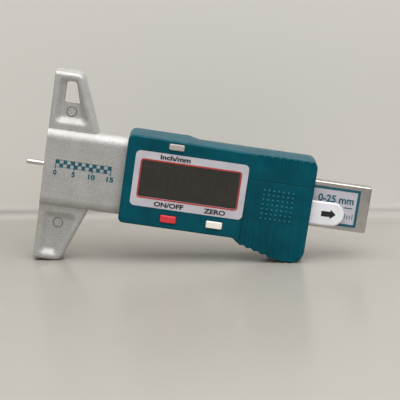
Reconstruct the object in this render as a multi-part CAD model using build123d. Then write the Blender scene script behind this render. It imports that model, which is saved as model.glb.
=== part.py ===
from build123d import *
import math
import os

os.makedirs("parts", exist_ok=True)

# Digital tire tread depth gauge, millimetres.
# X runs along the gauge, from the tip of the depth rod (-X) to the tail (+X).
# The display faces -Y and +Z is up when the display is read.
# Origin: axis of the depth rod, on the measuring face of the foot.

# ---- foot and stem -------------------------------------------------------------
FOOT_HALF = 30.0  # half the length of the measuring face
WING_FRONT = -3.4  # front of the wings' rims
FRAME_BACK = 4.4  # back of wings and stem
WING_TIP = 8.5  # width of a wing at its tip
WING_ROOT = 15.4  # width of a wing where it meets the stem
WING_CORNER = 2.6
WING_BASE = 12.3  # height at which WING_ROOT is measured
STEM_FRONT = -5.1
STEM_HALF_FRONT = 13.1  # half height of the stem at its front and back; its flanks lean
STEM_HALF_BACK = 10.9
STEM_END = 35.0  # the stem ends inside the head
STEM_ROUND_FRONT = 3.0
STEM_ROUND_BACK = 1.0
WING_EDGE = 1.1  # rounding of a wing's front edges
RIM_SOLE = 1.5  # rim of a wing along the measuring face
RIM_OUTER = 2.0  # rim of a wing along its slanted side
POCKET_LOW = 14.2  # the dished face runs from here to near the tip
POCKET_TIP = 28.3
POCKET_FRONT_FLOOR = -2.0
POCKET_SLOPE = 1.3  # the front pocket narrows this much for each mm of depth
POCKET_BACK_FLOOR = 0.9
MARK_X = 6.4
MARK_Z = 17.8
MARK_RADIUS = 1.65
MARK_LINE = 0.28
SLOT_X0 = 3.7  # hanging slot, narrower towards the tip
SLOT_X1 = 8.75
SLOT_TOP_X1 = 6.95
SLOT_LOW = 20.2
SLOT_TOP = 27.4

# ---- beam ----------------------------------------------------------------------
BEAM_START = 28.0
BEAM_END = 102.4
BEAM_HALF = 7.3
BEAM_FRONT = -2.9
BEAM_BACK = 0.6
GROOVE_HALF = 1.6
GROOVE_FLOOR = -1.7
STRIP_START = 39.0
STRIP_END = 99.1
STRIP_HALF = 5.95
STRIP_THICK = 0.28
LABEL_START = 64.0
LABEL_THICK = 0.1
BEAM_FIT = 0.05

# ---- depth rod and its travel ----------------------------------------------------
# The beam carries the rod. Pushing the tail in drives the rod out of the face.
ROD_RADIUS = 0.75
ROD_OUT = 5.75  # how far the rod stands out of the face as drawn
TRAVEL = 25.4
PUSH = TRAVEL - ROD_OUT  # travel left from the drawn position to rod fully out
ROD_FIT = 0.05
ROD_BORE_END = 6.5
CLAMP = (30.0, 38.0, 0.6, 1.5, 4.2)  # x0, x1, y0, y1, half height
CLAMP_SCREWS = [(34.0, -3.0), (34.0, 3.0)]
STOP_GAP = 0.03

# ---- sliding head ----------------------------------------------------------------
HEAD_X0 = 25.1
HEAD_X1 = 84.1
HEAD_TOP = 14.0
HEAD_BOTTOM = -13.6
HEAD_FRONT = -7.9
HEAD_SPLIT = -0.4
HEAD_BACK = 6.1
# crest of the head, from the tail to the left end: at its front and split, and at its back
FRONT_CREST = [(HEAD_X1, 14.0), (62.0, 14.0), (47.0, 14.28), (43.5, 14.35), (HEAD_X0, 14.7)]
BACK_CREST = [(HEAD_X1, 13.45), (62.0, 13.45), (47.0, 13.45), (43.5, 14.35), (HEAD_X0, 14.4)]
WALL = 1.2
FRONT_WALL = 0.8
STEM_FIT = 0.04
CAVITY_TOP = 12.5
CAVITY_BOTTOM = -12.4
GUIDE_X0 = 55.2
GUIDE_BACK = 2.2
GUIDE_FIT = 0.15

# thumb rest at the lower tail end, and the flutes
REST_X0 = 61.2
REST_KNEE = (63.6, -15.5)
REST_LOW = (76.4, -19.0)
FLUTE_PITCH = 2.4
FLUTE_COUNT = 8
FLUTE_RADIUS = 1.5
TOP_FLUTE_X = 66.2
TOP_FLUTE_DEEP = 0.22  # at the front edge; they fade towards the back
LOW_FLUTE_X = 64.6
LOW_FLUTE_DEEP = 0.4
GRIP_HALF = 5.6  # plain area in the middle of the cover
FRONT_FLUTE_RADIUS = 1.05
FRONT_FLUTE_START = 0.12
FRONT_FLUTE_DEEP = 0.5

# display
BEZEL = (28.0, 63.2, -7.4, 10.1)  # x0, x1, z0, z1
BEZEL_CORNER = 1.5
BEZEL_DEEP = 0.15
WINDOW = (30.2, 60.85, -4.3, 7.25)
LCD = (28.6, 62.0, -6.1, 9.1)
LCD_FRONT = -7.0
LCD_BACK = -6.1
BOARD = (27.2, 62.4, -12.2, 12.7)
BOARD_FRONT = -5.75
BOARD_BACK = -5.15

# buttons: centre x, centre z, width, height
BUTTONS = {
    "button_unit": (40.2, 12.45, 4.7, 1.9),
    "button_power": (40.5, -10.4, 5.0, 2.25),
    "button_zero": (54.9, -10.2, 5.0, 2.2),
}
BUTTON_PROUD = 0.55
BUTTON_TRAVEL = 0.4
BUTTON_GAP = 0.14

# battery bay
SEAM_X = 63.4
SEAM_Z = 5.9
SEAM_GAP = 0.07
COVER_BACK = -4.5
CELL_X = 73.4
CELL_Z = -3.1
CELL_RADIUS = 8.0
CELL_FRONT = -7.05
CELL_BACK = -5.05
TAB_END = 94.8
TAB_Z = -2.4
TAB_HALF = 3.8
TAB_FRONT = -5.0
TAB_BACK = -4.8

HOUSING_SCREWS = [(66.0, 9.6), (80.4, 9.6), (60.0, -10.2)]
REST_SCREW = (78.5, -15.0)  # the short one, inside the thumb rest
REST_SCREW_TIP = -4.0
BOARD_SCREWS = [(29.0, 11.3), (60.6, 11.3)]
STEM_SCREWS = [(31.0, -9.2), (31.0, 9.2)]

# leaf spring under the beam
SPRING_X0 = 66.5
SPRING_X1 = 79.5
SPRING_THICK = 0.2
SPRING_FOOT = -9.1


# ---- small helpers ---------------------------------------------------------------
def block(x0, x1, y0, y1, z0, z1):
    """A box given by its two corners."""
    return Pos((x0 + x1) / 2, (y0 + y1) / 2, (z0 + z1) / 2) * Box(x1 - x0, y1 - y0, z1 - z0)


def post(x, z, y0, y1, radius):
    """A round post along Y."""
    return Pos(x, (y0 + y1) / 2, z) * Rot(90, 0, 0) * Cylinder(radius, y1 - y0)


def bar(x0, x1, y, z, radius):
    """A round bar along X."""
    return Pos((x0 + x1) / 2, y, z) * Rot(0, 90, 0) * Cylinder(radius, x1 - x0)


def across_y(y):
    """The plane at y in which an outline's X and Y become the gauge's X and Z."""
    return Plane(origin=(0, y, 0), x_dir=(1, 0, 0), z_dir=(0, -1, 0))


def slab(outline, y0, y1):
    """A flat outline in X and Z, given thickness from y0 to y1."""
    return extrude(across_y(y1) * outline, y1 - y0)


def polygon(points):
    """A closed face through X, Z points."""
    return make_face(Polyline(*points, close=True))


def rounded(outline, corners):
    """Round the corners of a flat outline: (x, z, radius) each."""
    for x, z, radius in corners:
        corner = outline.vertices().sort_by_distance((x, z, 0))[0]
        outline = fillet(corner, radius)
    return outline


def plate(rect, corner, y0, y1, grow=0.0):
    """A rectangular plate with round corners."""
    x0, x1, z0, z1 = rect
    face = RectangleRounded(x1 - x0 + 2 * grow, z1 - z0 + 2 * grow, corner)
    return slab(Pos((x0 + x1) / 2, (z0 + z1) / 2) * face, y0, y1)


def edges_at(solid, y, tolerance=0.01):
    """Edges that lie wholly in one plane across Y."""
    box = [(e, e.bounding_box()) for e in solid.edges()]
    return [e for e, b in box if abs(b.min.Y - y) < tolerance and abs(b.max.Y - y) < tolerance]


def screw(x, z, y_head, y_tip, head_radius, head_thick, shank_radius):
    """A cross-recess screw along Y whose head is at y_head; it points towards y_tip."""
    way = 1 if y_tip > y_head else -1
    under = y_head + way * head_thick
    head = post(x, z, min(y_head, under), max(y_head, under), head_radius)
    shank = post(x, z, min(under, y_tip), max(under, y_tip), shank_radius)
    deep = y_head + way * head_thick * 0.5
    y0, y1 = sorted((y_head - way * 0.01, deep))
    long, wide = head_radius * 0.6, head_radius * 0.14
    cross = block(x - long, x + long, y0, y1, z - wide, z + wide)
    cross += block(x - wide, x + wide, y0, y1, z - long, z + long)
    return head + shank - cross


def save(shape, name):
    """Write one node."""
    solids = shape.solids()
    whole = solids[0] if len(solids) == 1 else Compound(children=list(solids))
    export_step(whole, f"parts/{name}.step")


# ---- foot and stem -----------------------------------------------------------------
def stem_profile(grow, x0, x1):
    """The stem, grown by a clearance, between two X planes."""
    y0, y1 = STEM_FRONT - grow, FRAME_BACK + grow
    front, back = STEM_HALF_FRONT + grow, STEM_HALF_BACK + grow
    section = polygon([(y0, -front), (y1, -back), (y1, back), (y0, front)])
    section = rounded(section, [
        (y0, -front, STEM_ROUND_FRONT + grow), (y0, front, STEM_ROUND_FRONT + grow),
        (y1, -back, STEM_ROUND_BACK + grow), (y1, back, STEM_ROUND_BACK + grow),
    ])
    return extrude(Plane(origin=(x0, 0, 0), x_dir=(0, 1, 0), z_dir=(1, 0, 0)) * section, x1 - x0)


def wing_side(z):
    """X of the slanted outer side of a wing at height z."""
    share = (abs(z) - WING_BASE) / (FOOT_HALF - WING_BASE)
    return WING_ROOT + share * (WING_TIP - WING_ROOT)


def pocket_outline(side, inset, corner, y):
    """Outline of a wing's dished face at depth y: side is 1 above, -1 below."""
    low, tip = POCKET_LOW + inset, POCKET_TIP - inset
    left = RIM_SOLE + inset
    face = polygon([
        (left, side * low),
        (wing_side(low) - RIM_OUTER - inset, side * low),
        (wing_side(tip) - RIM_OUTER - inset, side * tip),
        (left, side * tip),
    ])
    return across_y(y) * fillet(face.vertices(), corner)


def front_pocket(side):
    """A shallow dish with sloping walls that run softly into its floor."""
    deep = POCKET_FRONT_FLOOR - WING_FRONT
    spill = 0.5
    mouth = pocket_outline(side, -spill * POCKET_SLOPE, 1.9, WING_FRONT - spill)
    floor = pocket_outline(side, deep * POCKET_SLOPE, 0.8, POCKET_FRONT_FLOOR)
    dish = loft([mouth, floor])
    return fillet(edges_at(dish, POCKET_FRONT_FLOOR), 1.6)


def back_pocket(side):
    dish = extrude(pocket_outline(side, 0.2, 1.1, FRAME_BACK + 1), FRAME_BACK + 1 - POCKET_BACK_FLOOR)
    return fillet(edges_at(dish, POCKET_BACK_FLOOR), 0.6)


def is_pocket_rim(edge):
    """True for an edge on the front of a wing that goes round its pocket."""
    box = edge.bounding_box()
    flat = abs(box.max.Y - WING_FRONT) < 0.01 and abs(box.min.Y - WING_FRONT) < 0.01
    middle = edge.center()
    inside = RIM_SOLE - 0.2 < middle.X < wing_side(middle.Z) - RIM_OUTER + 0.2
    return flat and inside and POCKET_LOW - 0.2 < abs(middle.Z) < POCKET_TIP + 0.2


def make_foot_frame():
    inside = STEM_HALF_BACK - 0.5
    outline = polygon([
        (0, -FOOT_HALF), (WING_TIP, -FOOT_HALF), (wing_side(inside), -inside),
        (wing_side(inside), inside), (WING_TIP, FOOT_HALF), (0, FOOT_HALF),
    ])
    outline = rounded(outline, [
        (WING_TIP, FOOT_HALF, WING_CORNER), (WING_TIP, -FOOT_HALF, WING_CORNER),
    ])
    wings = slab(outline, WING_FRONT, FRAME_BACK)
    wings = fillet([e for e in edges_at(wings, WING_FRONT) if e.center().X > 0.01], WING_EDGE)
    wings = fillet([e for e in wings.edges() if abs(e.bounding_box().max.X) < 0.01], 0.4)
    wings = fillet([e for e in edges_at(wings, FRAME_BACK) if e.center().X > 0.5], 0.35)
    for side in (1, -1):
        wings = wings - front_pocket(side) - back_pocket(side)
    wings = fillet([e for e in wings.edges() if is_pocket_rim(e)], 1.4)
    for side in (1, -1):
        place = (MARK_X, side * MARK_Z)
        mark = post(*place, POCKET_FRONT_FLOOR - 0.5, POCKET_FRONT_FLOOR + 0.22, MARK_RADIUS)
        wings -= mark - post(*place, POCKET_FRONT_FLOOR - 1, POCKET_FRONT_FLOOR + 1, MARK_RADIUS - MARK_LINE)
    slot = polygon([(SLOT_X0, SLOT_LOW), (SLOT_X1, SLOT_LOW), (SLOT_TOP_X1, SLOT_TOP), (SLOT_X0, SLOT_TOP)])
    slot = rounded(slot, [(SLOT_X0, SLOT_LOW, 0.5), (SLOT_X1, SLOT_LOW, 0.5), (SLOT_TOP_X1, SLOT_TOP, 1.3),
                          (SLOT_X0, SLOT_TOP, 1.5)])
    wings -= slab(slot, WING_FRONT - 1, FRAME_BACK + 1)

    frame = wings + stem_profile(0, 0, STEM_END)
    # room for the beam, for the rod clamp on its back, and the bore of the rod
    end = BEAM_START - PUSH - STOP_GAP
    frame -= block(end, STEM_END + 1, BEAM_FRONT - BEAM_FIT, BEAM_BACK + BEAM_FIT,
                   -BEAM_HALF - BEAM_FIT, BEAM_HALF + BEAM_FIT)
    x0, x1, y0, y1, half = CLAMP
    frame -= block(x0 - PUSH - 0.3, STEM_END + 1, y0 - 0.2, y1 + 0.3, -half - 0.2, half + 0.2)
    frame -= bar(-1, end + 1, 0, 0, ROD_RADIUS + ROD_FIT)
    frame -= bar(ROD_BORE_END, STEM_END + 1, 0, 0, GROOVE_HALF)
    for x, z in STEM_SCREWS:
        frame -= post(x, z, 1.2, FRAME_BACK + 1, 0.6)
    return frame


def make_beam():
    beam = block(BEAM_START, BEAM_END, BEAM_FRONT, BEAM_BACK, -BEAM_HALF, BEAM_HALF)
    ends = beam.edges().filter_by(Axis.Y).filter_by_position(Axis.X, BEAM_END - 0.1, BEAM_END + 0.1)
    beam = fillet(ends, 0.5)
    beam = chamfer(edges_at(beam, BEAM_FRONT), 0.15)
    beam -= block(BEAM_START - 1, BEAM_END + 1, GROOVE_FLOOR, BEAM_BACK + 1, -GROOVE_HALF, GROOVE_HALF)
    beam -= block(STRIP_START - 0.1, STRIP_END + 0.1, BEAM_FRONT - 1, BEAM_FRONT + STRIP_THICK,
                  -STRIP_HALF - 0.1, STRIP_HALF + 0.1)
    for x, z in CLAMP_SCREWS:
        beam -= post(x, z, -1.4, BEAM_BACK + 1, 0.5)
    return beam


# ---- sliding head ------------------------------------------------------------------
def head_outline(crest):
    """Outline of the head in X and Z under a crest."""
    outline = polygon([(HEAD_X0, HEAD_BOTTOM), (REST_X0, HEAD_BOTTOM), REST_KNEE, REST_LOW,
                       (HEAD_X1, REST_LOW[1])] + crest)
    return rounded(outline, [
        (HEAD_X0, HEAD_BOTTOM, 1.6), (REST_X0, HEAD_BOTTOM, 1.5), (REST_KNEE[0], REST_KNEE[1], 2.0),
        (REST_LOW[0], REST_LOW[1], 5.0), (HEAD_X1, REST_LOW[1], 4.2), (*crest[0], 2.2), (*crest[-1], 2.0),
    ])


def rest_height(x):
    """Z of the thumb rest's underside at x."""
    slope = (REST_LOW[1] - REST_KNEE[1]) / (REST_LOW[0] - REST_KNEE[0])
    return max(REST_LOW[1], REST_KNEE[1] + slope * (x - REST_KNEE[0]))


def cut_low_flutes(body, y0, y1):
    """Grip flutes across the underside of the thumb rest."""
    for i in range(FLUTE_COUNT):
        x = LOW_FLUTE_X + FLUTE_PITCH * i
        body -= post(x, rest_height(x) - FLUTE_RADIUS + LOW_FLUTE_DEEP, y0, y1, FLUTE_RADIUS)
    return body


def flute_tool(x, z_start, z_end):
    """A leaning cutter with a round end: shallow at z_start on the front face, deep at z_end."""
    way = 1 if z_end > z_start else -1
    lean = math.degrees(math.atan2(FRONT_FLUTE_DEEP - FRONT_FLUTE_START, abs(z_end - z_start)))
    tool = Pos(0, 0, way * 15) * Cylinder(FRONT_FLUTE_RADIUS, 30) + Sphere(FRONT_FLUTE_RADIUS)
    place = Pos(x, HEAD_FRONT - FRONT_FLUTE_RADIUS + FRONT_FLUTE_START, z_start)
    return place * Rot(-way * lean, 0, 0) * tool


def cut_front_flutes(body):
    """Flutes on the front face, deepest at its edges, that fade towards the middle."""
    fade = math.degrees(math.atan2(TOP_FLUTE_DEEP, HEAD_SPLIT - HEAD_FRONT - 1.5))
    for i in range(FLUTE_COUNT):
        x = TOP_FLUTE_X + FLUTE_PITCH * i
        body -= flute_tool(x, HEAD_TOP - 4.2, HEAD_TOP)
        # a notch over the front edge of the top, which fades before the split
        notch = Pos(x, HEAD_FRONT, HEAD_TOP + FLUTE_RADIUS - TOP_FLUTE_DEEP) * Rot(fade - 90, 0, 0)
        body -= notch * Cylinder(FLUTE_RADIUS, 14)
        x = LOW_FLUTE_X + FLUTE_PITCH * i
        start = -8.2 if abs(x - CELL_X) < GRIP_HALF else 1.5
        body -= flute_tool(x, start, rest_height(x))
    return body


def head_front_outer():
    outer = slab(head_outline(FRONT_CREST), HEAD_FRONT, HEAD_SPLIT)
    outer = fillet(edges_at(outer, HEAD_FRONT), 0.7)
    # the strip under the display leans back a little
    lean = Pos(0, HEAD_FRONT, BEZEL[2] - 0.2) * Rot(-3.2, 0, 0) * block(HEAD_X0 - 5, SEAM_X, -5, 0, -12, 0)
    return cut_front_flutes(cut_low_flutes(outer - lean, HEAD_FRONT - 1, HEAD_SPLIT + 1))


def battery_region(grow):
    """The corner of the head that the battery cover takes, grown by a gap."""
    return block(SEAM_X - grow, HEAD_X1 + 2, HEAD_FRONT - 2, COVER_BACK + grow, -25, SEAM_Z + grow)


def make_front_housing(outer):
    body = outer - battery_region(SEAM_GAP)
    # inside: the main cavity, the boxes for board and display, the window and the bezel recess
    body -= block(HEAD_X0 + 1.4, HEAD_X1 - WALL, BOARD_FRONT, HEAD_SPLIT + 1, CAVITY_BOTTOM, CAVITY_TOP)
    body -= block(BOARD[0] - 0.1, BOARD[1] + 0.2, BOARD_FRONT, BOARD_BACK, BOARD[2] - 0.1, BOARD[3] + 0.1)
    body -= stem_profile(STEM_FIT, HEAD_X0 - 1, HEAD_X0 + 3)
    body -= plate(LCD, 0.3, HEAD_FRONT + FRONT_WALL, BOARD_FRONT + 0.1, grow=0.1)
    body -= plate(WINDOW, 0.5, HEAD_FRONT - 1, LCD_FRONT, grow=0.02)
    body -= plate(BEZEL, BEZEL_CORNER, HEAD_FRONT - 1, HEAD_FRONT + BEZEL_DEEP, grow=0.05)
    for x, z, wide, high in BUTTONS.values():
        hole = (x - wide / 2 - BUTTON_GAP, x + wide / 2 + BUTTON_GAP,
                z - high / 2 - BUTTON_GAP, z + high / 2 + BUTTON_GAP)
        body -= plate(hole, 0.4, HEAD_FRONT - 1, HEAD_FRONT + 1.5)
        pocket = (x - wide / 2 - 0.75, x + wide / 2 + 0.75, z - 1.75, z + 1.3)
        body -= block(pocket[0], pocket[1], HEAD_FRONT + FRONT_WALL, BOARD_FRONT + 0.1, pocket[2], pocket[3])
    # way out for the beam at the tail end
    body -= block(HEAD_X1 - 3, HEAD_X1 + 1, BEAM_FRONT - 0.25, HEAD_SPLIT + 1,
                  -BEAM_HALF - GUIDE_FIT, BEAM_HALF + GUIDE_FIT)
    # the bay opens forward behind the cover
    body -= block(SEAM_X - SEAM_GAP, HEAD_X1 - WALL, COVER_BACK - 4, HEAD_SPLIT + 1, CAVITY_BOTTOM, SEAM_Z)
    # groove for the cover's tongue
    body -= block(SEAM_X, HEAD_X1 + 1, HEAD_FRONT + 0.95, HEAD_FRONT + 1.6, SEAM_Z - 0.1, SEAM_Z + 0.7)
    # posts for the housing screws, left and lower one
    x, z = HOUSING_SCREWS[2]
    corner = block(x - 2.2, BOARD[1] + 0.3, BOARD_FRONT - 0.5, COVER_BACK, CAVITY_BOTTOM - 0.1, z + 2.1)
    body += corner & outer
    for x, z in HOUSING_SCREWS:
        body -= post(x, z, -6.6, HEAD_SPLIT + 1, 0.6)
    body -= post(*REST_SCREW, REST_SCREW_TIP, HEAD_SPLIT + 1, 0.6)
    for x, z in BOARD_SCREWS:
        body -= post(x, z, -6.9, BOARD_FRONT + 1, 0.5)
    return body


def is_cover_seam(edge):
    """True for the long front edge of the cover along its upper seam."""
    box = edge.bounding_box()
    level = abs(box.min.Z - box.max.Z) < 0.01 and abs(box.max.Z - SEAM_Z + SEAM_GAP) < 0.01
    return level and abs(box.max.Y - HEAD_FRONT) < 0.01 and box.max.X - box.min.X > 5


def make_battery_cover(outer):
    cover = outer & battery_region(-SEAM_GAP)
    cover = chamfer([e for e in cover.edges() if is_cover_seam(e)], 0.15)
    cover -= block(SEAM_X - 1, HEAD_X1 - 1.0, HEAD_FRONT + 0.75, COVER_BACK + 1, -11.85, SEAM_Z + 1)
    cover -= block(REST_X0, HEAD_X1 - 1.6, HEAD_FRONT + 1.6, COVER_BACK + 1, -14.6, -12.6)
    cover -= block(HEAD_X1 - 3, HEAD_X1 + 1, TAB_FRONT - 0.12, COVER_BACK + 1,
                   TAB_Z - TAB_HALF - 0.15, TAB_Z + TAB_HALF + 0.15)
    # a lip along the top edge, with a tongue that hooks behind the front housing
    x0, x1, low = SEAM_X + 1.2, HEAD_X1 - 3.2, SEAM_Z - 0.45
    tongue = block(x0, x1, HEAD_FRONT + 1.05, HEAD_FRONT + 1.5, low, SEAM_Z + 0.55)
    web = block(x0, x1, HEAD_FRONT + 0.7, HEAD_FRONT + 1.5, low, SEAM_Z - SEAM_GAP)
    return cover + tongue + web


def make_back_housing():
    front = across_y(HEAD_SPLIT) * head_outline(FRONT_CREST)
    back = across_y(HEAD_BACK) * head_outline(BACK_CREST)
    body = loft([front, back], ruled=True)
    body = fillet(edges_at(body, HEAD_BACK), 1.0)
    body = cut_low_flutes(body, HEAD_SPLIT - 1, HEAD_BACK + 1)
    body -= block(HEAD_X0 + 1.4, HEAD_X1 - WALL, HEAD_SPLIT - 1, FRAME_BACK, CAVITY_BOTTOM, CAVITY_TOP)
    body -= stem_profile(STEM_FIT, HEAD_X0 - 1, HEAD_X0 + 3)
    body -= block(HEAD_X1 - 3, HEAD_X1 + 1, HEAD_SPLIT - 1, BEAM_BACK + 0.2,
                  -BEAM_HALF - GUIDE_FIT, BEAM_HALF + GUIDE_FIT)
    # the stop that the rod clamp meets when the rod is flush, and posts for the screws
    stop = CLAMP[1] + ROD_OUT + STOP_GAP
    body += block(stop, stop + 2.5, BEAM_BACK + 0.3, FRAME_BACK + 0.5, -4.0, 4.0)
    for x, z in HOUSING_SCREWS:
        body += post(x, z, GUIDE_BACK, FRAME_BACK + 0.5, 2.0)
    for x, z in HOUSING_SCREWS + [REST_SCREW]:
        body -= post(x, z, HEAD_BACK - 1.6, HEAD_BACK + 1, 1.75)
        body -= post(x, z, HEAD_SPLIT - 1, HEAD_BACK, 0.85)
    for x, z in STEM_SCREWS:
        body -= post(x, z, HEAD_BACK - 0.8, HEAD_BACK + 1, 1.45)
        body -= post(x, z, HEAD_SPLIT - 1, HEAD_BACK, 0.7)
    return body


def make_guide_block():
    """A sleeve round the beam; its front carries the coin cell in a ring."""
    top, bottom = CAVITY_TOP - 0.1, CAVITY_BOTTOM + 0.1
    body = block(GUIDE_X0, HEAD_X1 - WALL - 0.1, COVER_BACK, GUIDE_BACK, bottom, top)
    body += block(GUIDE_X0, SEAM_X - 0.3, BOARD_BACK, COVER_BACK, bottom, top)
    ring = post(CELL_X, CELL_Z, CELL_FRONT + 0.4, COVER_BACK, CELL_RADIUS + 0.6)
    ring -= post(CELL_X, CELL_Z, CELL_FRONT - 1, COVER_BACK + 1, CELL_RADIUS + 0.1)
    ring -= block(CELL_X, HEAD_X1, CELL_FRONT - 1, COVER_BACK,
                  TAB_Z - TAB_HALF - 0.2, TAB_Z + TAB_HALF + 0.2)
    ring -= block(SEAM_X - 1, CELL_X - 6, CELL_FRONT - 1, COVER_BACK, CELL_Z - 2.6, CELL_Z + 2.6)
    body += ring - block(SEAM_X, HEAD_X1, CELL_FRONT - 1, COVER_BACK, SEAM_Z - 0.55, SEAM_Z + 9)
    body -= block(GUIDE_X0 - 1, HEAD_X1, BEAM_FRONT - 0.25, BEAM_BACK + GUIDE_FIT,
                  -BEAM_HALF - GUIDE_FIT, BEAM_HALF + GUIDE_FIT)
    body -= block(SPRING_X0 - 0.3, SPRING_X1 + 0.3, -2.5, -0.3, SPRING_FOOT - 0.1, -BEAM_HALF)
    # room for the front housing's corner post and for the screws
    x, z = HOUSING_SCREWS[2]
    body -= block(x - 2.4, SEAM_X, BOARD_BACK - 1, COVER_BACK, bottom - 1, z + 2.3)
    for x, z in HOUSING_SCREWS:
        body -= post(x, z, BOARD_BACK - 1, GUIDE_BACK + 1, 0.85)
    x, z = BOARD_SCREWS[1]
    body -= post(x, z, BOARD_BACK - 1, BOARD_BACK + 0.75, 1.2)
    # room for the feet of the two contacts
    body -= block(SEAM_X - 1.5, CELL_X - 2, BOARD_BACK - 1, COVER_BACK + 0.01, CELL_Z - 2.6, CELL_Z + 2.6)
    return body


def make_friction_spring():
    """A bowed leaf between the guide block and the lower edge of the beam."""
    middle = (SPRING_X0 + SPRING_X1) / 2
    crown = -BEAM_HALF - 0.22
    upper = ThreePointArc((SPRING_X0, SPRING_FOOT), (middle, crown), (SPRING_X1, SPRING_FOOT))
    lower = ThreePointArc((SPRING_X1 - 0.5, SPRING_FOOT), (middle, crown - SPRING_THICK),
                          (SPRING_X0 + 0.5, SPRING_FOOT))
    face = make_face([
        upper, Line((SPRING_X1, SPRING_FOOT), (SPRING_X1 - 0.5, SPRING_FOOT)),
        lower, Line((SPRING_X0 + 0.5, SPRING_FOOT), (SPRING_X0, SPRING_FOOT)),
    ])
    return slab(face, -2.3, -0.5)


# ---- display and electronics -------------------------------------------------------
def make_bezel_label():
    label = plate(BEZEL, BEZEL_CORNER, HEAD_FRONT - 0.05, HEAD_FRONT + BEZEL_DEEP)
    return label - plate(WINDOW, 0.6, HEAD_FRONT - 1, HEAD_FRONT + 1)


def make_display_window():
    return plate(WINDOW, 0.5, HEAD_FRONT + 0.12, LCD_FRONT - 0.02, grow=-0.04)


def make_lcd_panel():
    return plate(LCD, 0.2, LCD_FRONT, LCD_BACK)


def make_display_connector():
    x0, x1, z0, z1 = LCD
    return block(x0 + 2, x1 - 2, LCD_BACK, BOARD_FRONT, z1 - 1.8, z1 - 0.4)


def make_main_board():
    x0, x1, z0, z1 = BOARD
    board = block(x0, x1, BOARD_FRONT, BOARD_BACK, z0, z1)
    x, z = HOUSING_SCREWS[2]
    board -= block(x - 2.4, x1 + 1, BOARD_FRONT - 1, BOARD_BACK + 1, z0 - 1, z + 2.3)
    for x, z in BOARD_SCREWS:
        board -= post(x, z, BOARD_FRONT - 1, BOARD_BACK + 1, 0.6)
    return board


def make_controller_chip():
    x0, x1, z0, z1 = LCD
    middle = (x0 + x1) / 2
    return block(middle - 4, middle + 4, LCD_BACK + 0.02, BOARD_FRONT, -3.0, 4.0)


def make_button(x, z, wide, high):
    """A cap that stands out of the head, with a flange behind the front wall."""
    cap = plate((x - wide / 2, x + wide / 2, z - high / 2, z + high / 2), 0.35,
                HEAD_FRONT - BUTTON_PROUD, HEAD_FRONT + FRONT_WALL + 0.35)
    cap = fillet(edges_at(cap, HEAD_FRONT - BUTTON_PROUD), 0.3)
    flange = block(x - wide / 2 - 0.5, x + wide / 2 + 0.5, HEAD_FRONT + FRONT_WALL + 0.05,
                   HEAD_FRONT + FRONT_WALL + 0.35, z - 1.5, z + 1.05)
    return cap + flange


def make_button_pads():
    """Silicone domes on the board, one behind each button."""
    pads = []
    for x, z, *_ in BUTTONS.values():
        low = z - 0.9 if z > 0 else z
        front = HEAD_FRONT + FRONT_WALL + 0.4 + BUTTON_TRAVEL
        pads.append(post(x, low, front, BOARD_FRONT, 0.85))
    return Compound(children=pads)


def make_contact_negative():
    """A flat spring under the cell, turned up to the board."""
    flat = block(SEAM_X - 0.2, CELL_X + 4, TAB_BACK + 0.05, COVER_BACK, CELL_Z - 2.2, CELL_Z + 0.2)
    riser = block(SEAM_X - 0.5, SEAM_X - 0.2, BOARD_FRONT, COVER_BACK, CELL_Z - 2.2, CELL_Z + 0.2)
    foot = block(SEAM_X - 0.95, SEAM_X - 0.5, BOARD_FRONT, BOARD_BACK, CELL_Z - 2.2, CELL_Z + 0.2)
    return flat + riser + foot


def make_contact_positive():
    """A leaf against the side of the cell."""
    edge = CELL_X - CELL_RADIUS - 0.35
    leaf = block(edge, edge + 0.3, CELL_FRONT + 0.1, TAB_FRONT - 0.15, CELL_Z + 0.6, CELL_Z + 2.4)
    arm = block(SEAM_X - 0.5, edge, CELL_BACK - 0.35, CELL_BACK - 0.1, CELL_Z + 0.6, CELL_Z + 2.4)
    foot = block(SEAM_X - 0.95, SEAM_X - 0.5, BOARD_FRONT, BOARD_BACK, CELL_Z + 0.6, CELL_Z + 2.4)
    return leaf + arm + foot


def make_battery_cell():
    can = post(CELL_X, CELL_Z, CELL_FRONT, CELL_BACK, CELL_RADIUS)
    return chamfer(can.edges().filter_by(GeomType.CIRCLE), 0.2)


def make_pull_tab():
    """A flat strip between the cell and its negative contact, round at its free end."""
    left = CELL_X - 4.5
    z0, z1 = TAB_Z - TAB_HALF, TAB_Z + TAB_HALF
    strip = slab(polygon([(left, z0), (TAB_END - TAB_HALF, z0), (TAB_END - TAB_HALF, z1), (left, z1)]),
                 TAB_FRONT, TAB_BACK)
    return strip + post(TAB_END - TAB_HALF, TAB_Z, TAB_FRONT, TAB_BACK, TAB_HALF)


# ---- rod, clamp and fasteners ---------------------------------------------------------
def make_depth_rod():
    rod = bar(-ROD_OUT, CLAMP[1] + 0.5, 0, 0, ROD_RADIUS)
    tip = rod.edges().filter_by(GeomType.CIRCLE).sort_by(Axis.X)[0]
    return fillet(tip, 0.3)


def make_rod_clamp():
    """A plate on the back of the beam that presses the rod into the groove."""
    x0, x1, y0, y1, half = CLAMP
    body = block(x0, x1, y0, y1, -half, half)
    body = fillet(body.edges().filter_by(Axis.Y), 0.6)
    body -= bar(x0 - 1, x1 + 1, 0, 0, ROD_RADIUS)
    for x, z in CLAMP_SCREWS:
        body -= post(x, z, y0 - 1, y1 + 1, 0.5)
        body -= post(x, z, y1 - 0.4, y1 + 1, 0.95)
    return body


def make_screws(places, *args):
    return Compound(children=[screw(x, z, *args) for x, z in places])


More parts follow.
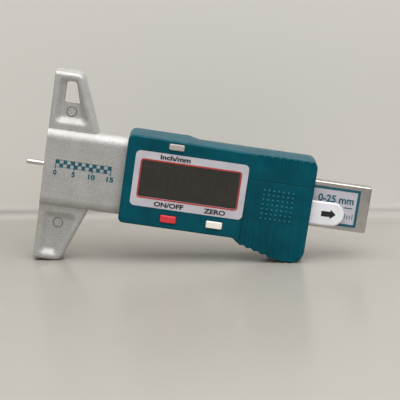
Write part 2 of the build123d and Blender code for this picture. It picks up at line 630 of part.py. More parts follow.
def build():
    outer = head_front_outer()
    face = BEAM_FRONT
    nodes = {
        "foot_frame": make_foot_frame(),
        "beam": make_beam(),
        "scale_strip": block(STRIP_START, STRIP_END, face, face + STRIP_THICK, -STRIP_HALF, STRIP_HALF),
        "beam_label": block(LABEL_START, STRIP_END, face - LABEL_THICK, face, -STRIP_HALF, STRIP_HALF),
        "front_housing": make_front_housing(outer),
        "back_housing": make_back_housing(),
        "guide_block": make_guide_block(),
        "friction_spring": make_friction_spring(),
        "bezel_label": make_bezel_label(),
        "display_window": make_display_window(),
        "lcd_panel": make_lcd_panel(),
        "display_connector": make_display_connector(),
        "main_board": make_main_board(),
        "controller_chip": make_controller_chip(),
        "button_pads": make_button_pads(),
        "battery_cell": make_battery_cell(),
        "contact_positive": make_contact_positive(),
        "contact_negative": make_contact_negative(),
        "depth_rod": make_depth_rod(),
        "rod_clamp": make_rod_clamp(),
        "clamp_screws": make_screws(CLAMP_SCREWS, CLAMP[3] + 0.05, -1.2, 0.9, 0.45, 0.5),
        "stem_screws": make_screws(STEM_SCREWS, HEAD_BACK - 0.1, 1.4, 1.35, 0.7, 0.6),
        "housing_screws": make_screws(HOUSING_SCREWS, HEAD_BACK - 0.3, -6.3, 1.6, 1.3, 0.6)
        + screw(*REST_SCREW, HEAD_BACK - 0.3, REST_SCREW_TIP + 0.2, 1.6, 1.3, 0.6),
        "board_screws": make_screws(BOARD_SCREWS, BOARD_BACK + 0.2, -6.8, 1.0, 0.2, 0.5),
        "battery_cover": make_battery_cover(outer),
        "pull_tab": make_pull_tab(),
    }
    for name, place in BUTTONS.items():
        nodes[name] = make_button(*place)
    return nodes


for node, shape in build().items():
    save(shape, node)
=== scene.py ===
import math

import bmesh
import bpy
import numpy as np
from mathutils import Matrix, Vector


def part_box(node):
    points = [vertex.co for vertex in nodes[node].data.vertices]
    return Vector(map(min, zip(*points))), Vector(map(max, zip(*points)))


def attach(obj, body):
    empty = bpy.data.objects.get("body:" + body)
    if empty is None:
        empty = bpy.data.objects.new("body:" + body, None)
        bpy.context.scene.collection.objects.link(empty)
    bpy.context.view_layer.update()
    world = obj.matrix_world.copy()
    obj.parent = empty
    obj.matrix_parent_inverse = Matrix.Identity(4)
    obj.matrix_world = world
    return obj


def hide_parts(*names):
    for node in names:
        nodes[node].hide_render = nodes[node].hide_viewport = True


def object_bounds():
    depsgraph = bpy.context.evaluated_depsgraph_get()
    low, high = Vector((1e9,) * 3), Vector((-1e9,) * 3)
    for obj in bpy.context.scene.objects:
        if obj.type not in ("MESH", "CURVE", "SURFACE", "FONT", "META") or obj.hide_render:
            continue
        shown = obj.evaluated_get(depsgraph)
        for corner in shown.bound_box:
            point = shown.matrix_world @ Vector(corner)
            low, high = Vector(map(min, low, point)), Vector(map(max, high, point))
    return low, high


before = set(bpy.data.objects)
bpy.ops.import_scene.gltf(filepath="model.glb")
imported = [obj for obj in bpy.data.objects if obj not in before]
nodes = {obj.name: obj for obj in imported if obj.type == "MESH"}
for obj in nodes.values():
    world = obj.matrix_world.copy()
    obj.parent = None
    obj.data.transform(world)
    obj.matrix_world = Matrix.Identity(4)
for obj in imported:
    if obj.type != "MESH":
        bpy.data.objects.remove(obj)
cad_lo, cad_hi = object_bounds()

# The look of a digital tread depth gauge. X runs along it, the display faces -Y, +Z is up. Metres.
MM = 0.001
scene = bpy.context.scene

# ---- view and light ------------------------------------------------------------------
LENS = 135.0
SENSOR = 36.0
VIEW_FROM_CENTRE = Vector((1.4, 1.2, -4.7)) * MM  # what the camera looks at, from the middle of the box
VIEW_DISTANCE = 472.7 * MM
VIEW_YAW = math.radians(-1.44)
VIEW_PITCH = math.radians(-12.91)
VIEW_ROLL = math.radians(8.36)
SKY_COLOUR = "edecea"
SKY_LOW = 0.26  # brightness of the room at the horizon and below
SKY_HIGH = 1.0  # and straight above
SKY_FADE = (0.1, 0.9)  # upward part of a direction where the brightening starts and ends
LAMP_POWER = 9.4
LAMP_WIDE = 1.2
LAMP_DEEP = 0.6
LAMP_RISE = 0.55  # above the middle of the gauge, and towards the camera from it
LAMP_AHEAD = 0.04
BOARD_LEFT = -0.6
BOARD_FRONT = -0.45
BOARD_RIGHT_FRONT = 0.085  # right edge of the board in front, below the gauge, and at the wall
BOARD_RIGHT_MIDDLE = 0.119
BOARD_RIGHT_WALL = 0.125
WALL_Y = 0.05
WALL_BEND = 0.006  # radius of the curve between board and wall
WALL_HEIGHT = 0.6

# ---- prints --------------------------------------------------------------------------
PRINT_THICK = 0.025 * MM
PRINT_SINK = 0.01 * MM
WINDOW_LINE = 0.52 * MM  # width of the red line, and how far it laps over the window
WINDOW_LAP = 0.06 * MM
WORD_HEIGHT = 1.6 * MM
STEM_PRINT_X = 3.7 * MM  # left end and top of the scale on the stem
STEM_PRINT_Z = 2.9 * MM
BLOCK = 1.15 * MM  # width of one block, and height of one row
BLOCK_COUNT = 15
ROW = 1.15 * MM
NUMBER_STEP = 5  # blocks from one numeral to the next
NUMBER_DROP = 1.8 * MM
DIGIT_WIDE = 1.1 * MM
DIGIT_HIGH = 1.65 * MM
STEM_LINE = 0.14 * MM
STEM_TICK = 0.7 * MM
LABEL_BORDER = 0.8 * MM
MARK_X = 6.4 * MM  # centre of the round mark in each wing, and the floor of its groove
MARK_Y = -1.78 * MM
MARK_Z = 17.8 * MM
MARK_RADIUS = 1.63 * MM
MARK_LINE = 0.24 * MM

# ---- pull tab and pips ---------------------------------------------------------------
TAB_BEND = 0.95 * MM  # how far the tip hangs back
TAB_CURL = 0.16 * MM
TAB_CURL_START = 0.6  # part of its length after which its sides curl
PIP_ROWS = 7
PIP_PITCH = 1.5 * MM
PIP_RADIUS = 0.36 * MM
PIP_HEIGHT = 0.32 * MM
PIP_SINK = 0.03 * MM
PIPS_ABOVE_CELL = 1.7 * MM  # middle of the pips above the middle of the cell


# ---- materials -----------------------------------------------------------------------
def linear(colour):
    """A hex colour as linear RGBA."""
    parts = [int(colour[i:i + 2], 16) / 255 for i in (0, 2, 4)]
    return [(p / 12.92 if p <= 0.04045 else ((p + 0.055) / 1.055) ** 2.4) for p in parts] + [1.0]


class Finish:
    """A node material around one Principled shader, with noise fixed to the object."""

    def __init__(self, name, metal=0.0, **sockets):
        self.material = bpy.data.materials.new(name)
        self.material.use_nodes = True
        self.tree = self.material.node_tree
        self.shader = self.tree.nodes["Principled BSDF"]
        self.shader.inputs["Metallic"].default_value = metal
        for socket, value in sockets.items():
            self.shader.inputs[socket.replace("_", " ")].default_value = value
        self.place = self.tree.nodes.new("ShaderNodeTexCoord").outputs["Object"]

    def node(self, kind, **settings):
        made = self.tree.nodes.new(kind)
        for name, value in settings.items():
            setattr(made, name, value)
        return made

    def link(self, source, target):
        self.tree.links.new(source, target)

    def noise(self, size, detail, stretch=(1, 1, 1)):
        """Noise with features about size across; stretch makes them longer along an axis."""
        mapping = self.node("ShaderNodeMapping")
        mapping.inputs["Scale"].default_value = [1 / (size * s) for s in stretch]
        self.link(self.place, mapping.inputs["Vector"])
        made = self.node("ShaderNodeTexNoise")
        made.inputs["Scale"].default_value = 1.0
        made.inputs["Detail"].default_value = detail
        self.link(mapping.outputs["Vector"], made.inputs["Vector"])
        return made.outputs["Fac"]

    def cells(self, size):
        """A random value for each small cell, as in metal flake."""
        mapping = self.node("ShaderNodeMapping")
        mapping.inputs["Scale"].default_value = [1 / size] * 3
        self.link(self.place, mapping.inputs["Vector"])
        made = self.node("ShaderNodeTexVoronoi")
        made.inputs["Scale"].default_value = 1.0
        self.link(mapping.outputs["Vector"], made.inputs["Vector"])
        spread = self.node("ShaderNodeSeparateColor")
        self.link(made.outputs["Color"], spread.inputs["Color"])
        return spread.outputs["Red"]

    def ramp(self, source, low, high, start=0.3, end=0.7):
        """Source from start to end, turned into a number or a colour from low to high."""
        if isinstance(low, (int, float)):
            made = self.node("ShaderNodeMapRange")
            for name, value in (("From Min", start), ("From Max", end), ("To Min", low), ("To Max", high)):
                made.inputs[name].default_value = value
            self.link(source, made.inputs["Value"])
            return made.outputs["Result"]
        made = self.node("ShaderNodeValToRGB")
        made.color_ramp.elements[0].position = start
        made.color_ramp.elements[1].position = end
        made.color_ramp.elements[0].color = low
        made.color_ramp.elements[1].color = high
        self.link(source, made.inputs["Fac"])
        return made.outputs["Color"]

    def colour(self, source, low, high, start=0.3, end=0.7):
        tint = self.ramp(source, linear(low), linear(high), start, end)
        self.link(tint, self.shader.inputs["Base Color"])

    def roughness(self, source, low, high):
        self.link(self.ramp(source, low, high), self.shader.inputs["Roughness"])

    def relief(self, source, height, soften=0.0):
        """Bump of this height; soften also rounds the normals over sharp edges."""
        bump = self.node("ShaderNodeBump")
        bump.inputs["Strength"].default_value = 1.0
        bump.inputs["Distance"].default_value = height
        self.link(source, bump.inputs["Height"])
        if soften:
            edge = self.node("ShaderNodeBevel", samples=4)
            edge.inputs["Radius"].default_value = soften
            self.link(edge.outputs["Normal"], bump.inputs["Normal"])
        self.link(bump.outputs["Normal"], self.shader.inputs["Normal"])


def moulded(name, low, high, rough, grain, height, **sockets):
    """Moulded plastic: slightly mottled, with a fine grained surface."""
    finish = Finish(name, **sockets)
    finish.colour(finish.noise(6 * MM, 2.0), low, high)
    fine = finish.noise(grain, 2.0)
    finish.roughness(fine, rough - 0.07, rough + 0.09)
    finish.relief(fine, height, soften=0.12 * MM)
    return finish.material


def silver_paint():
    """Sprayed silver on a casting: a sandy surface with fine flake and soft cloudy patches."""
    finish = Finish("silver_paint_look", metal=0.6)
    flake = finish.cells(0.16 * MM)
    cloud = finish.noise(5 * MM, 3.0)
    mix = finish.node("ShaderNodeMix", data_type="FLOAT")
    mix.inputs["Factor"].default_value = 0.45
    finish.link(flake, mix.inputs["A"])
    finish.link(cloud, mix.inputs["B"])
    finish.colour(mix.outputs["Result"], "a8a7a5", "cccbc9", 0.2, 0.8)
    sand = finish.noise(0.3 * MM, 3.0)
    finish.roughness(sand, 0.56, 0.72)
    finish.relief(sand, 0.014 * MM, soften=0.06 * MM)
    return finish.material


def metal(name, low, high, rough, stretch):
    """Machined metal with grinding lines along the stretched axis."""
    finish = Finish(name, metal=1.0)
    lines = finish.noise(0.12 * MM, 3.0, stretch)
    finish.colour(finish.noise(4 * MM, 3.0), low, high)
    finish.roughness(lines, rough - 0.06, rough + 0.1)
    finish.relief(lines, 0.002 * MM, soften=0.08 * MM)
    return finish.material


def film(name, low, high, rough, **sockets):
    """Printed film: nearly even, with a very fine orange peel."""
    finish = Finish(name, **sockets)
    finish.colour(finish.noise(3 * MM, 3.0), low, high)
    peel = finish.noise(0.45 * MM, 2.0)
    finish.roughness(peel, rough - 0.05, rough + 0.06)
    finish.relief(peel, 0.003 * MM)
    return finish.material


def laminate():
    """Circuit board: glass weave under green lacquer."""
    finish = Finish("laminate_look", Coat_Weight=0.4, Coat_Roughness=0.2)
    warp = finish.noise(0.25 * MM, 1.0, (8, 1, 1))
    weft = finish.noise(0.25 * MM, 1.0, (1, 1, 8))
    weave = finish.node("ShaderNodeMath", operation="MAXIMUM")
    finish.link(warp, weave.inputs[0])
    finish.link(weft, weave.inputs[1])
    finish.colour(weave.outputs["Value"], "0d3a1e", "1f6a3a")
    finish.roughness(weave.outputs["Value"], 0.35, 0.5)
    finish.relief(weave.outputs["Value"], 0.01 * MM)
    return finish.material


def clear_window():
    """Clear smoked plastic in front of the display."""
    finish = Finish("window_look", Transmission_Weight=1.0, IOR=1.49, Roughness=0.0)
    finish.colour(finish.noise(9 * MM, 2.0), "c6c4c0", "d0cecb")
    return finish.material


def display_glass():
    """A switched off liquid crystal panel behind its dark polariser."""
    finish = Finish("display_look", Specular_IOR_Level=0.2)
    finish.colour(finish.noise(11 * MM, 2.0), "39342e", "464038")
    finish.roughness(finish.noise(2 * MM, 2.0), 0.3, 0.36)
    return finish.material


def backdrop_finish():
    """Pale board, duller where it lies flat, seen from its upper or front side only."""
    finish = Finish("backdrop_look", Specular_IOR_Level=0.35)
    sides = finish.node("ShaderNodeNewGeometry")
    facing = finish.node("ShaderNodeSeparateXYZ")
    finish.link(sides.outputs["Normal"], facing.inputs["Vector"])
    flat = finish.ramp(facing.outputs["Y"], 0.0, 1.0, -1.0, -0.9)
    finish.colour(flat, "d6d3cd", "9a968f", 0.0, 1.0)
    finish.roughness(finish.noise(30 * MM, 2.0), 0.22, 0.27)
    output = finish.tree.nodes["Material Output"]
    clear = finish.node("ShaderNodeBsdfTransparent")
    mix = finish.node("ShaderNodeMixShader")
    finish.link(sides.outputs["Backfacing"], mix.inputs["Fac"])
    finish.link(finish.shader.outputs["BSDF"], mix.inputs[1])
    finish.link(clear.outputs["BSDF"], mix.inputs[2])
    finish.link(mix.outputs["Shader"], output.inputs["Surface"])
    return finish.material


def make_looks():
    """One look for each material slot of the record."""
    grain = 0.22 * MM
    fine = 0.008 * MM
    return {
        "silver_paint": silver_paint(),
        "bright_steel": metal("bright_steel_look", "bebbb7", "d4d1cd", 0.3, (14, 1, 1)),
        "spring_steel": metal("spring_steel_look", "8e8a84", "b0aca6", 0.3, (10, 1, 1)),
        "screw_steel": metal("screw_steel_look", "7d7b78", "a09e9a", 0.34, (1, 1, 1)),
        "green_laminate": laminate(),
        "label_film": film("label_film_look", "bdbac2", "c9c6ce", 0.42),
        "teal_plastic": moulded("teal_plastic_look", "004551", "005361", 0.33, 0.36 * MM, 0.034 * MM,
                                Specular_IOR_Level=0.12),
        "black_plastic": moulded("black_plastic_look", "151515", "1f1f20", 0.45, grain, 0.01 * MM),
        "black_rubber": moulded("black_rubber_look", "101010", "191919", 0.7, grain, 0.012 * MM),
        "clear_plastic": clear_window(),
        "display_glass": display_glass(),
        "white_silicone": moulded("silicone_look", "d9d8d3", "e6e5e0", 0.5, grain, 0.006 * MM,
                                  Subsurface_Weight=0.2, Subsurface_Scale=0.5 * MM),
        "white_film": film("white_film_look", "ecebf0", "f8f7fb", 0.38, Subsurface_Weight=0.15,
                           Subsurface_Scale=0.6 * MM),
        "grey_plastic": moulded("grey_plastic_look", "aaa39f", "b6afab", 0.4, grain, fine),
        "red_plastic": moulded("red_plastic_look", "d22c32", "de3a41", 0.38, grain, fine),
        "white_plastic": moulded("white_plastic_look", "f3ece2", "fdf7ee", 0.38, grain, fine),
    }


def make_inks():
    """Printed colours, and a painted shade for the wing grooves."""
    return {
        "black": film("black_ink", "15171b", "202329", 0.45),
        "teal": film("teal_ink", "045264", "0b5e70", 0.45),
        "red": film("red_ink", "a8281e", "b63126", 0.4),
        # painted shade for the floor of the wing grooves, not an ink
        "groove": film("painted_groove_shade", "6a6764", "777470", 0.6),
        "segment": film("segment_ink", "332e29", "3a352f", 0.3),
    }


# ---- small mesh helpers --------------------------------------------------------------
def add_piece(name, mesh, look, body):
    """Link a mesh that is already in place, give it its look and its body."""
    piece = bpy.data.objects.new(name, mesh)
    scene.collection.objects.link(piece)
    mesh.materials.clear()
    mesh.materials.append(look)
    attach(piece, body)
    return piece


def mesh_from(name, made, smooth=False):
    """Close a bmesh into a mesh whose faces look outwards."""
    bmesh.ops.recalc_face_normals(made, faces=made.faces)
    for face in made.faces:
        face.smooth = smooth
    mesh = bpy.data.meshes.new(name)
    made.to_mesh(mesh)
    made.free()
    return mesh


def rounded_loop(x0, x1, z0, z1, radius, steps=6):
    """Points round a rectangle with round corners, as (x, z)."""
    points = []
    for cx, cz, start in ((x1 - radius, z1 - radius, 0), (x0 + radius, z1 - radius, 90),
                          (x0 + radius, z0 + radius, 180), (x1 - radius, z0 + radius, 270)):
        for i in range(steps + 1):
            angle = math.radians(start + 90 * i / steps)
            points.append((cx + radius * math.cos(angle), cz + radius * math.sin(angle)))
    return points


def print_layer(front):
    """Front and back Y of a print on a face at front."""
    return front - PRINT_THICK, front + PRINT_SINK


def add_ring(name, outer, inner, front, look, body, slot):
    """A flat printed line between two loops with the same number of points."""
    made = bmesh.new()
    rows = []
    for loop in (outer, inner):
        rows.append([[made.verts.new((x, y, z)) for x, z in loop] for y in print_layer(front)])
    (outer_front, outer_back), (inner_front, inner_back) = rows
    for a, b in ((outer_front, inner_front), (inner_front, inner_back), (inner_back, outer_back),
                 (outer_back, outer_front)):
        for i in range(len(a)):
            j = (i + 1) % len(a)
            made.faces.new((a[i], a[j], b[j], b[i]))
    add_piece(name, mesh_from(name, made), look, body)


def add_shapes(name, outlines, front, look, body):
    """Flat printed shapes: each outline is a list of (x, z), all in one piece."""
    made = bmesh.new()
    for outline in outlines:
        rows = [[made.verts.new((x, y, z)) for x, z in outline] for y in print_layer(front)]
        made.faces.new(rows[0])
        made.faces.new(reversed(rows[1]))
        for i in range(len(outline)):
            j = (i + 1) % len(outline)
            made.faces.new((rows[0][i], rows[1][i], rows[1][j], rows[0][j]))
    add_piece(name, mesh_from(name, made), look, body)


def rectangle(x0, x1, z0, z1):
    return [(x0, z0), (x1, z0), (x1, z1), (x0, z1)]


def add_text(name, words, centre, size, front, look, body, weight):
    """Printed lettering of a given width, height and weight, on a face that looks to -Y."""
    curve = bpy.data.curves.new(name, "FONT")
    curve.body = words
    curve.offset = weight
    curve.extrude = 0.1  # any depth will do: each vertex is put on the print's front or back below
    curve.resolution_u = 5
    holder = bpy.data.objects.new(name + "_curve", curve)
    scene.collection.objects.link(holder)
    bpy.context.view_layer.update()
    mesh = bpy.data.meshes.new_from_object(holder)
    bpy.data.objects.remove(holder)
    xs = [v.co.x for v in mesh.vertices]
    ys = [v.co.y for v in mesh.vertices]
    middle = Vector(((min(xs) + max(xs)) / 2, (min(ys) + max(ys)) / 2))
    across = size[0] / (max(xs) - min(xs))
    upright = size[1] / (max(ys) - min(ys))
    face, back = print_layer(front)
    for v in mesh.vertices:
        v.co = Vector((centre[0] + (v.co.x - middle.x) * across, face if v.co.z > 0 else back,
                       centre[1] + (v.co.y - middle.y) * upright))
    mesh.name = name
    add_piece(name, mesh, look, body)


# ---- pieces --------------------------------------------------------------------------
def dress_cad(looks):
    """Give every CAD node the look of its material slot."""
    for part in nodes.values():
        for holder in part.material_slots:
            holder.material = looks[holder.material.name]


def add_bezel_prints(inks):
    """The red line round the window and the words beside the buttons."""
    lo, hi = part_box("bezel_label")
    window_lo, window_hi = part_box("display_window")
    front = lo.y
    line, lap = WINDOW_LINE, WINDOW_LAP
    outer_corner, inner_corner = 1.0 * MM, 0.6 * MM
    x0, x1, z0, z1 = window_lo.x, window_hi.x, window_lo.z, window_hi.z
    add_ring("window_line", rounded_loop(x0 - line, x1 + line, z0 - line, z1 + line, outer_corner),
             rounded_loop(x0 - lap, x1 + lap, z0 - lap, z1 + lap, inner_corner), front, inks["red"],
             "gauge_body", "red_plastic")
    above = (z1 + line + hi.z) / 2
    below = (z0 - line + lo.z) / 2
    for name, words, button, shift, width, z in (
        ("word_unit", "inch/mm", "button_unit", 0.1, 9.4, above),
        ("word_power", "ON/OFF", "button_power", -0.4, 9.2, below),
        ("word_zero", "ZERO", "button_zero", -0.4, 6.7, below),
    ):
        cap_lo, cap_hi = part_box(button)
        centre = ((cap_lo.x + cap_hi.x) / 2 + shift * MM, z)
        add_text(name, words, centre, (width * MM, WORD_HEIGHT), front, inks["black"], "gauge_body",
                 weight=0.042)


def seven_segments(x, z, wide, high, bar):
    """Outlines of the seven segments of one digit whose lower left corner is at x, z."""
    lean = 0.08
    half = high / 2
    gap = bar * 0.18
    shapes = []
    for level in (0, half, high):
        a, b = x + bar * 0.6, x + wide - bar * 0.6
        shapes.append([(a + gap, level), (a + bar / 2, level + bar / 2), (b - bar / 2, level + bar / 2),
                       (b - gap, level), (b - bar / 2, level - bar / 2), (a + bar / 2, level - bar / 2)])
    for side in (x + bar / 2, x + wide - bar / 2):
        for base in (0, half):
            a, b = base + gap, base + half - gap
            shapes.append([(side, a), (side + bar / 2, a + bar / 2), (side + bar / 2, b - bar / 2),
                           (side, b), (side - bar / 2, b - bar / 2), (side - bar / 2, a + bar / 2)])
    return [[(px + lean * pz, z + pz) for px, pz in shape] for shape in shapes]


def add_segments(inks):
    """The unlit segments of the display, just darker than its glass."""
    lo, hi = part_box("display_window")
    panel_lo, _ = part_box("lcd_panel")
    wide, high, bar = 3.6 * MM, 7.2 * MM, 0.7 * MM
    first, pitch = 4.0 * MM, 5.0 * MM
    dot, dot_shift = 0.35 * MM, 0.6 * MM
    base = (lo.z + hi.z) / 2 - high / 2
    shapes = []
    for i in range(5):
        shapes += seven_segments(lo.x + first + pitch * i, base, wide, high, bar)
    for i in (2, 3):
        x = lo.x + first + pitch * i - dot_shift
        shapes.append(rectangle(x - dot, x + dot, base - dot, base + dot))
    surface = panel_lo.y + 0.012 * MM
    add_shapes("display_segments", shapes, surface, inks["segment"], "gauge_body")
    inset = 0.5 * MM
    # a black edge inside the window: partly the panel's own mask, partly painted shade where the window's
    # edge shades the panel
    add_ring("display_mask_shade", rounded_loop(lo.x, hi.x, lo.z, hi.z, 0.4 * MM),
             rounded_loop(lo.x + inset, hi.x - inset, lo.z + inset, hi.z - inset, 0.3 * MM), surface,
             inks["black"], "gauge_body", "black_plastic")


def add_stem_print(inks):
    """A plain scale printed on the stem: two rows of alternate blocks over numerals."""
    lo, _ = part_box("foot_frame")
    front = lo.y
    end = STEM_PRINT_X + BLOCK * BLOCK_COUNT
    bottom = STEM_PRINT_Z - 2 * ROW
    shapes = []
    for edge in (0, 1, 2):
        z = STEM_PRINT_Z - ROW * edge
        shapes.append(rectangle(STEM_PRINT_X, end, z - STEM_LINE / 2, z + STEM_LINE / 2))
    for i in range(BLOCK_COUNT):
        x = STEM_PRINT_X + BLOCK * i
        top = STEM_PRINT_Z - ROW * (i % 2)
        shapes.append(rectangle(x, x + BLOCK, top - ROW, top))
    numbers = range(0, BLOCK_COUNT + 1, NUMBER_STEP)
    for i in numbers:
        x = STEM_PRINT_X + BLOCK * i
        shapes.append(rectangle(x - STEM_LINE, x + STEM_LINE, bottom - STEM_TICK, STEM_PRINT_Z))
    add_shapes("stem_scale", shapes, front, inks["teal"], "gauge_body")
    for i in numbers:
        digits = str(i)
        centre = (STEM_PRINT_X + BLOCK * i, bottom - NUMBER_DROP)
        add_text(f"stem_number_{i}", digits, centre, (DIGIT_WIDE * len(digits), DIGIT_HIGH), front,
                 inks["teal"], "gauge_body", weight=0.05)


def add_wing_marks(inks):
    """Dark lines in the round grooves of the wings: painted shade where the grooves lie in shadow."""
    for name, z in (("mark_upper", MARK_Z), ("mark_lower", -MARK_Z)):
        loops = []
        for radius in (MARK_RADIUS, MARK_RADIUS - MARK_LINE):
            loops.append(rounded_loop(MARK_X - radius, MARK_X + radius, z - radius, z + radius, radius))
        # painted shade: a dark ring laid on the floor of each groove
        add_ring(name, *loops, MARK_Y, inks["groove"], "gauge_body", "silver_paint")


def add_beam_prints(inks):
    """The border, the range and a short scale on the beam's label."""
    lo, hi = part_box("beam_label")
    front = lo.y
    border = LABEL_BORDER
    add_ring("label_border", rounded_loop(lo.x, hi.x, lo.z, hi.z, 0.25 * MM, 3),
             rounded_loop(lo.x + border, hi.x - border, lo.z + border, hi.z - border, 0.1 * MM, 3), front,
             inks["teal"], "beam", "teal_plastic")
    centre = (hi.x - 7.35 * MM, 2.35 * MM)
    size = (11.3 * MM, 2.4 * MM)
    add_text("label_range", "0-25 mm", centre, size, front, inks["teal"], "beam",
             weight=0.03)
    rule = rectangle(hi.x - 4.6 * MM, hi.x - 1.9 * MM, -0.2 * MM, 0.15 * MM)
    shapes = [rule]
    first, pitch, half = hi.x - 3.9 * MM, 0.8 * MM, 0.12 * MM
    foot, short, tall = -3.5 * MM, -2.3 * MM, -1.9 * MM
    for i in range(4):
        x = first + pitch * i
        shapes.append(rectangle(x - half, x + half, foot, short if i % 3 else tall))
    add_shapes("label_ticks", shapes, front, inks["teal"], "beam")


def tab_shape():
    """A function that gives Y of the tab's front face at x: flat at first, then bending a little back."""
    lo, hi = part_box("pull_tab")
    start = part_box("battery_cover")[1].x
    return lambda x: lo.y + TAB_BEND * max(0.0, (x - start) / (hi.x - start)) ** 1.8


def tab_stations(lo, hi, half):
    """Places along the tab with its half width there: parallel sides, then a round end."""
    straight, bent = 30, 14
    stations = [(lo.x + (hi.x - half - lo.x) * i / straight, half) for i in range(straight)]
    for i in range(bent + 1):
        angle = math.pi / 2 * i / bent
        stations.append((hi.x - half + half * math.sin(angle), half * max(math.cos(angle), 0.02)))
    return stations


def add_tab_film(looks):
    """The battery's pull tab as soft bent film."""
    lo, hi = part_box("pull_tab")
    middle, half, thick = (lo.z + hi.z) / 2, (hi.z - lo.z) / 2, hi.y - lo.y
    tab_front = tab_shape()
    stations = tab_stations(lo, hi, half)
    across = 12
    made = bmesh.new()
    sides = []
    for depth in (0.0, thick):
        rows = []
        for x, width in stations:
            along = max(0.0, (x - lo.x) / (hi.x - lo.x) - TAB_CURL_START)
            row = []
            for k in range(across + 1):
                z = width * (2 * k / across - 1)
                curl = TAB_CURL * (z / half) ** 2 * along
                row.append(made.verts.new((x, tab_front(x) + curl + depth, middle + z)))
            rows.append(row)
        sides.append(rows)
    front, back = sides
    for i in range(len(stations) - 1):
        for k in range(across):
            made.faces.new((front[i][k], front[i + 1][k], front[i + 1][k + 1], front[i][k + 1]))
            made.faces.new((back[i][k], back[i][k + 1], back[i + 1][k + 1], back[i + 1][k]))
        for k in (0, across):
            made.faces.new((front[i][k], back[i][k], back[i + 1][k], front[i + 1][k]))
    for i in (0, len(stations) - 1):
        for k in range(across):
            made.faces.new((front[i][k], front[i][k + 1], back[i][k + 1], back[i][k]))
    tab = add_piece("tab_film", mesh_from("tab_film", made, smooth=True), looks["white_film"], "pull_tab")
    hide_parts("pull_tab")


def add_tab_arrow(inks):
    """The arrow printed on the pull tab, bent with it."""
    lo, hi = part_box("pull_tab")
    middle = (lo.z + hi.z) / 2
    tab_front = tab_shape()
    start, neck, tip = hi.x - 7.15 * MM, hi.x - 4.3 * MM, hi.x - 2.55 * MM
    shaft, head, point = 0.85 * MM, 1.55 * MM, 0.001 * MM
    steps = 6
    profile = [(start + (neck - start) * i / steps, shaft) for i in range(steps + 1)]
    profile += [(neck + (tip - neck) * i / steps, head * (1 - i / steps) + point) for i in range(steps + 1)]
    made = bmesh.new()
    layers = []
    for depth in (-PRINT_THICK, PRINT_SINK):
        layers.append([[made.verts.new((x, tab_front(x) + depth, middle + side * width))
                        for side in (-1, 1)] for x, width in profile])
    front, back = layers
    for i in range(len(profile) - 1):
        a, b, c, d = front[i], front[i + 1], back[i], back[i + 1]
        made.faces.new((a[0], b[0], b[1], a[1]))
        made.faces.new((c[0], c[1], d[1], d[0]))
        for k in (0, 1):
            made.faces.new((a[k], c[k], d[k], b[k]))
    for i in (0, len(profile) - 1):
        made.faces.new((front[i][0], front[i][1], back[i][1], back[i][0]))
    add_piece("tab_arrow", mesh_from("tab_arrow", made), inks["black"], "pull_tab")


def make_pip(made, x, face_y, z):
    """One domed pip on a face that looks to -Y, its foot sunk a little into the face."""
    rings, around = 3, 10
    top = made.verts.new((x, face_y - PIP_HEIGHT, z))
    previous = None
    for ring in range(1, rings + 1):
        angle = math.pi / 2 * ring / rings
        y = face_y - PIP_HEIGHT * math.cos(angle) + (PIP_SINK if ring == rings else 0)
        reach = PIP_RADIUS * math.sin(angle)
        row = []
        for step in range(around):
            turn = 2 * math.pi * step / around
            row.append(made.verts.new((x + reach * math.cos(turn), y, z + reach * math.sin(turn))))
        for step in range(around):
            after = (step + 1) % around
            if previous is None:
                made.faces.new((top, row[step], row[after]))
            else:
                made.faces.new((previous[step], row[step], row[after], previous[after]))
        previous = row
    made.faces.new(reversed(previous))


def add_pips():
    """Rows of grip pips on the battery cover, in a lighter teal as a painted highlight on their tops."""
    lo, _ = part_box("battery_cover")
    cell_lo, cell_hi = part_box("battery_cell")
    # painted highlight: the pips get a lighter, glossier teal than the cover so they read as lit
    highlight_teal = moulded("painted_highlight_teal_look", "075a6b", "0f6778", 0.3, 0.2 * MM, 0.008 * MM, Specular_IOR_Level=0.5)
    centre_x = (cell_lo.x + cell_hi.x) / 2
    centre_z = (cell_lo.z + cell_hi.z) / 2 + PIPS_ABOVE_CELL
    middle = (PIP_ROWS - 1) / 2
    made = bmesh.new()
    for i in range(PIP_ROWS):
        for k in range(PIP_ROWS):
            make_pip(made, centre_x + (i - middle) * PIP_PITCH, lo.y, centre_z + (k - middle) * PIP_PITCH)
    add_piece("cover_pips", mesh_from("cover_pips", made, smooth=True), highlight_teal, "battery_cover")


# ---- floor, light, camera ------------------------------------------------------------
def lowest(points, tilt):
    """How low a cloud of points reaches along the floor's normal."""
    return float((points[:, 2] * math.cos(tilt) - points[:, 0] * math.sin(tilt)).min())


def points_of(name):
    """A node's vertices as an array."""
    vertices = nodes[name].data.vertices
    flat = np.empty(3 * len(vertices))
    vertices.foreach_get("co", flat)
    return flat.reshape(-1, 3)


def find_floor():
    """Slope and height of the floor that touches both the foot and the thumb rest."""
    foot = points_of("foot_frame")
    rest = np.concatenate([points_of(name) for name in ("battery_cover", "front_housing", "back_housing")])
    low, high = math.radians(3), math.radians(15)
    for _ in range(40):
        middle = (low + high) / 2
        if lowest(foot, middle) < lowest(rest, middle):
            low = middle
        else:
            high = middle
    return middle, min(lowest(foot, middle), lowest(rest, middle))


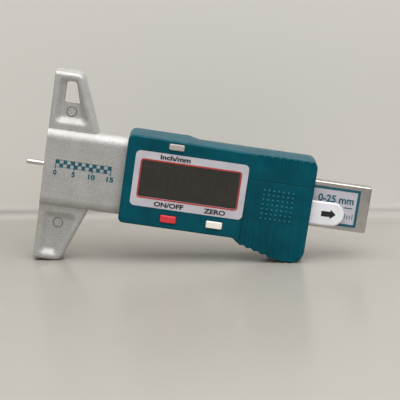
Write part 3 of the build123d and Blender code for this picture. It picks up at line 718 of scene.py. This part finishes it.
def add_backdrop(tilt, drop):
    """A pale board under the gauge that curves up into a wall; its right edge is just out of view."""
    turn = Matrix.Rotation(-tilt, 4, "Y")
    rows = [(BOARD_FRONT, 0.0, BOARD_RIGHT_FRONT), (0.0, 0.0, BOARD_RIGHT_MIDDLE)]
    steps = 8
    for i in range(steps + 1):
        angle = math.pi / 2 * i / steps
        y = WALL_Y - WALL_BEND * (1 - math.sin(angle))
        rows.append((y, WALL_BEND * (1 - math.cos(angle)), BOARD_RIGHT_WALL))
    rows.append((WALL_Y, WALL_HEIGHT, BOARD_RIGHT_WALL))
    made = bmesh.new()
    edges = [[made.verts.new(turn @ Vector((x, y, drop + rise))) for x in (BOARD_LEFT, right)]
             for y, rise, right in rows]
    for (a, b), (c, d) in zip(edges, edges[1:]):
        face = made.faces.new((a, b, d, c))
        face.smooth = True
    mesh = bpy.data.meshes.new("backdrop")
    made.to_mesh(mesh)
    made.free()
    mesh.materials.append(backdrop_finish())
    backdrop = bpy.data.objects.new("backdrop", mesh)
    scene.collection.objects.link(backdrop)


def add_room():
    """A room that is bright above and dim at the sides and below."""
    world = bpy.data.worlds.new("room")
    world.use_nodes = True
    tree = world.node_tree
    background = tree.nodes["Background"]
    background.inputs["Color"].default_value = linear(SKY_COLOUR)
    way = tree.nodes.new("ShaderNodeTexCoord")
    parts = tree.nodes.new("ShaderNodeSeparateXYZ")
    rise = tree.nodes.new("ShaderNodeMapRange")
    start, end = SKY_FADE
    for name, value in (("From Min", start), ("From Max", end), ("To Min", SKY_LOW), ("To Max", SKY_HIGH)):
        rise.inputs[name].default_value = value
    tree.links.new(way.outputs["Generated"], parts.inputs["Vector"])
    tree.links.new(parts.outputs["Z"], rise.inputs["Value"])
    tree.links.new(rise.outputs["Result"], background.inputs["Strength"])
    scene.world = world


def add_lamp(tilt):
    """One broad soft lamp over the gauge."""
    up = Vector((-math.sin(tilt), 0, math.cos(tilt)))
    centre = (cad_lo + cad_hi) / 2
    place = centre + up * LAMP_RISE - Vector((0, LAMP_AHEAD, 0))
    data = bpy.data.lights.new("lamp", "AREA")
    data.shape = "RECTANGLE"
    data.size = LAMP_WIDE
    data.size_y = LAMP_DEEP
    data.energy = LAMP_POWER
    lamp = bpy.data.objects.new("lamp", data)
    lamp.location = place
    lamp.rotation_euler = (centre - place).to_track_quat("-Z", "Y").to_euler()
    scene.collection.objects.link(lamp)


def add_camera():
    """Looks at the display face from a little above, held askew."""
    target = (cad_lo + cad_hi) / 2 + VIEW_FROM_CENTRE
    ahead = Vector((-math.sin(VIEW_YAW) * math.cos(VIEW_PITCH), math.cos(VIEW_YAW) * math.cos(VIEW_PITCH),
                    math.sin(VIEW_PITCH)))
    right = Vector((math.cos(VIEW_YAW), math.sin(VIEW_YAW), 0))
    up = right.cross(ahead)
    side = right * math.cos(VIEW_ROLL) + up * math.sin(VIEW_ROLL)
    top = up * math.cos(VIEW_ROLL) - right * math.sin(VIEW_ROLL)
    data = bpy.data.cameras.new("camera")
    data.lens = LENS
    data.sensor_width = SENSOR
    data.clip_start, data.clip_end = 0.01, 10
    camera = bpy.data.objects.new("camera", data)
    turn = Matrix((side, top, -ahead)).transposed()
    camera.matrix_world = Matrix.Translation(target - ahead * VIEW_DISTANCE) @ turn.to_4x4()
    scene.collection.objects.link(camera)
    scene.camera = camera


scene.view_settings.view_transform = "Standard"
looks = make_looks()
inks = make_inks()
dress_cad(looks)
add_bezel_prints(inks)
add_segments(inks)
add_stem_print(inks)
add_wing_marks(inks)
add_beam_prints(inks)
add_tab_film(looks)
add_tab_arrow(inks)
add_pips()
tilt, drop = find_floor()
add_backdrop(tilt, drop)
add_room()
add_lamp(tilt)
add_camera()
